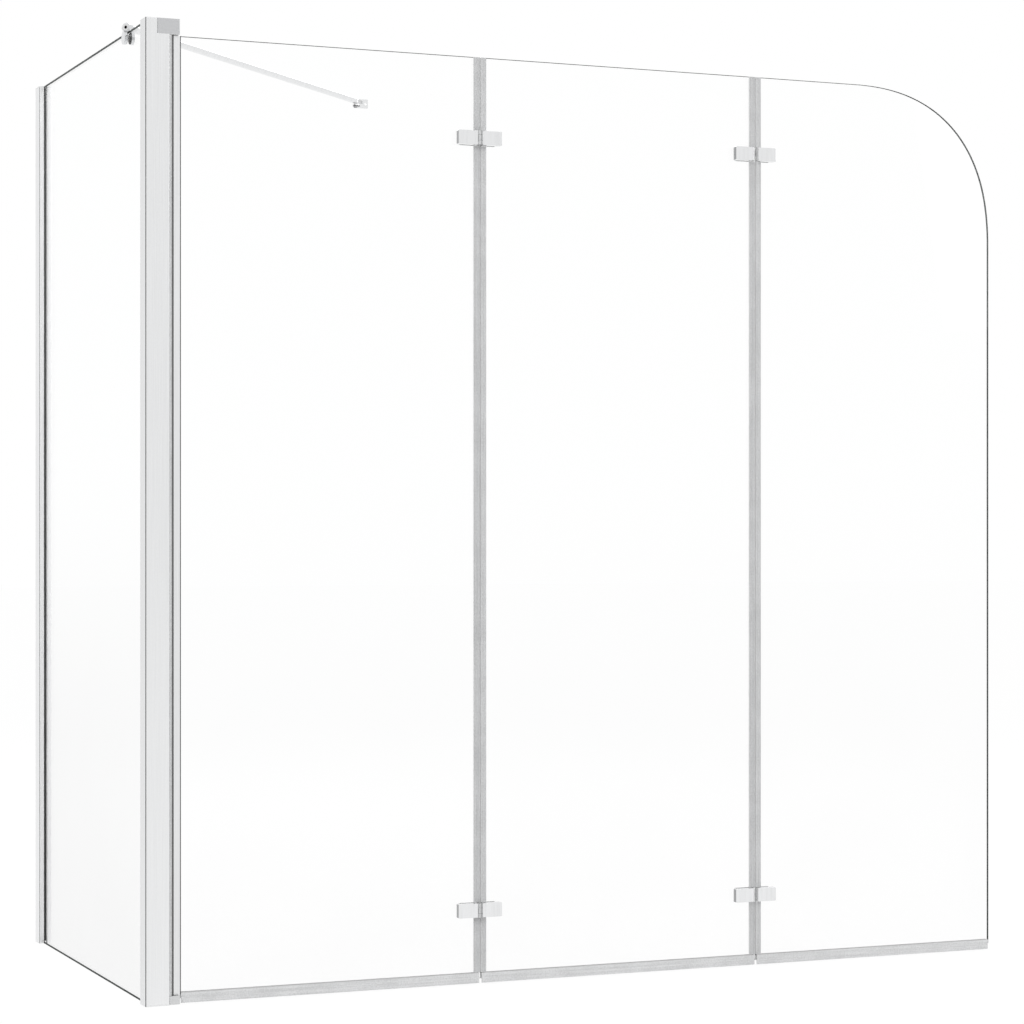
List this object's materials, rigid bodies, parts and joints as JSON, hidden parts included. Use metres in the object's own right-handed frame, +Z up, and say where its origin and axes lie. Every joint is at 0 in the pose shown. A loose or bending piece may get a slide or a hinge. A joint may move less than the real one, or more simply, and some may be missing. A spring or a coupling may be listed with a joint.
{
  "type": "folding bath shower screen",
  "caption": "Glass corner screen for a bath: a fixed side pane braced to the wall, and a swinging main screen whose panes fold on glass hinges, with a swept free corner.",
  "frame": {"origin": "middle of the underside of the corner post's foot, on the bath's rim", "axes": "+Z up along the post, +Y into the bath towards the wall that holds the screen, +X along the closed main screen"},
  "size_m": [1.396, 0.6914, 1.4162],
  "materials": {
    "clear_glass": "polished clear",
    "satin_aluminium": "satin anodised",
    "grey_bracket": "satin grey",
    "chrome": "polished",
    "steel": "plain",
    "grey_vinyl": "translucent soft vinyl",
    "clear_plastic": "clear",
    "black_rubber": "matt",
    "black_plastic": "moulded",
    "white_nylon": "moulded"
  },
  "bodies": {
    "frame": {"wall_profile": "satin_aluminium", "wall_profile_cap": "satin_aluminium", "wall_glazing_gasket": "grey_vinyl", "side_glass": "clear_glass", "corner_post": "satin_aluminium", "post_cap": "satin_aluminium", "post_foot": "satin_aluminium", "post_glazing_gasket": "black_rubber", "post_seal_strip": "grey_vinyl", "top_pivot_bracket": "grey_bracket", "bottom_pivot_bracket": "grey_bracket", "bracket_screws": "steel", "pivot_pins": "steel", "stabiliser_bar": "chrome", "bar_end_plug": "black_plastic", "bar_fork": "chrome", "glass_clamp": "chrome", "clamp_pads": "black_rubber", "clamp_grub_screws": "steel", "wall_flange": "chrome", "flange_pin": "steel"},
    "panel_1": {"pivot_profile": "satin_aluminium", "pivot_bushes": "white_nylon", "pivot_gasket": "black_rubber", "glass_1": "clear_glass", "bottom_seal_1": "grey_vinyl", "edge_seal_1": "grey_vinyl", "hinge_1_upper_leaf_left": "chrome", "hinge_1_lower_leaf_left": "chrome", "hinge_1_plates_left": "chrome", "hinge_1_gaskets_left": "clear_plastic", "hinge_1_screws_left": "steel", "hinge_1_pins": "steel"},
    "panel_2": {"glass_2": "clear_glass", "bottom_seal_2": "grey_vinyl", "edge_seal_2_left": "grey_vinyl", "edge_seal_2_right": "grey_vinyl", "hinge_1_upper_leaf_right": "chrome", "hinge_1_lower_leaf_right": "chrome", "hinge_1_plates_right": "chrome", "hinge_1_gaskets_right": "clear_plastic", "hinge_1_screws_right": "steel", "hinge_2_upper_leaf_left": "chrome", "hinge_2_lower_leaf_left": "chrome", "hinge_2_plates_left": "chrome", "hinge_2_gaskets_left": "clear_plastic", "hinge_2_screws_left": "steel", "hinge_2_pins": "steel"},
    "panel_3": {"glass_3": "clear_glass", "bottom_seal_3": "grey_vinyl", "edge_seal_3": "grey_vinyl", "hinge_2_upper_leaf_right": "chrome", "hinge_2_lower_leaf_right": "chrome", "hinge_2_plates_right": "chrome", "hinge_2_gaskets_right": "clear_plastic", "hinge_2_screws_right": "steel"}
  },
  "joints": [
    {"name": "post_pivot", "type": "hinge", "parent": "frame", "child": "panel_1", "pos_m": [0.026, -0.0035, 0], "axis": [0, 0, 1], "range_deg": [0, 90]},
    {"name": "fold_1", "type": "hinge", "parent": "panel_1", "child": "panel_2", "pos_m": [0.493, -0.0155, 0], "axis": [0, 0, -1], "range_deg": [0, 180]},
    {"name": "fold_2", "type": "hinge", "parent": "panel_2", "child": "panel_3", "pos_m": [0.953, 0.0045, 0], "axis": [0, 0, 1], "range_deg": [0, 180]}
  ]
}
